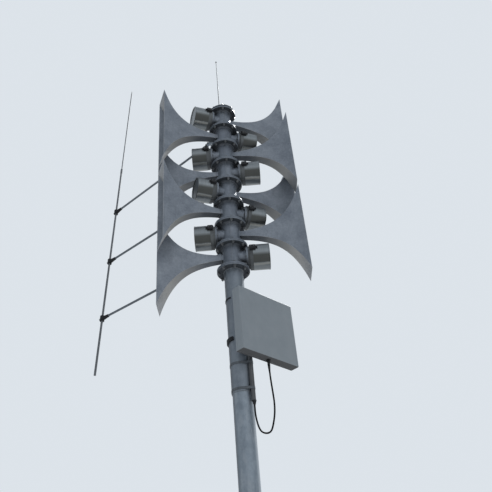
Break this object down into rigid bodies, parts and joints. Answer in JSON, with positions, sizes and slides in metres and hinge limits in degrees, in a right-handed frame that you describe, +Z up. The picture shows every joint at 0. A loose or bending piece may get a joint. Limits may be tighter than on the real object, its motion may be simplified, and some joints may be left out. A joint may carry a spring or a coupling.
{
  "type": "civil defense siren tower",
  "caption": "Slim steel mast with a column of stacked flared warning horns and round drivers, a flat antenna panel with a cable loop, a whip antenna and a strutted lightning rod.",
  "frame": {"origin": "underside of the base plate, in the middle of the mast", "axes": "+Z up along the mast; the front, from which the picture was taken, looks along -Y; +X is to the viewer's right"},
  "size_m": [1.4478, 1.0892, 6.5001],
  "materials": {
    "galvanised_steel": "hot-dip galvanised, mottled and dull",
    "sleeve_steel": "galvanised tube, smooth and dull",
    "cast_column": "sand-cast, weathered dark grey",
    "cast_horn": "sand-cast, weathered grey",
    "stainless_can": "rolled stainless sheet, satin",
    "black_plastic": "moulded black",
    "black_clamp": "black coated clamp",
    "panel_plastic": "light warm grey cover, plain",
    "tube_plastic": "grey-brown tube",
    "cable_rubber": "black sheath",
    "whip_metal": "thin whip, dull",
    "rod_metal": "drawn rod, dull",
    "strut_fibre": "fibre-reinforced rod, dark grey"
  },
  "bodies": {
    "root": {"base_plate": "galvanised_steel", "pole_lower": "galvanised_steel", "pole_sleeve": "sleeve_steel", "siren_adapter": "galvanised_steel", "column_module_1": "cast_column", "column_module_2": "cast_column", "column_module_3": "cast_column", "column_module_4": "cast_column", "column_module_5": "cast_column", "column_module_6": "cast_column", "column_module_7": "cast_column", "column_module_8": "cast_column", "horn_1": "cast_horn", "horn_2": "cast_horn", "horn_3": "cast_horn", "horn_4": "cast_horn", "horn_5": "cast_horn", "horn_6": "cast_horn", "horn_7": "cast_horn", "horn_8": "cast_horn", "driver_1": "stainless_can", "driver_2": "stainless_can", "driver_3": "stainless_can", "driver_4": "stainless_can", "driver_5": "stainless_can", "driver_6": "stainless_can", "driver_7": "stainless_can", "driver_8": "stainless_can", "driver_glands": "black_plastic", "top_cap": "cast_column", "whip_antenna": "whip_metal", "antenna_panel": "panel_plastic", "panel_bracket": "galvanised_steel", "panel_gland": "black_plastic", "panel_cable": "cable_rubber", "cable_tube": "tube_plastic", "tube_bands": "galvanised_steel", "pole_clamps": "black_clamp", "lightning_rod": "rod_metal", "rod_clamps": "black_clamp", "strut_top": "strut_fibre", "strut_middle": "strut_fibre", "strut_bottom": "strut_fibre", "strut_brackets": "galvanised_steel"}
  },
  "joints": []
}
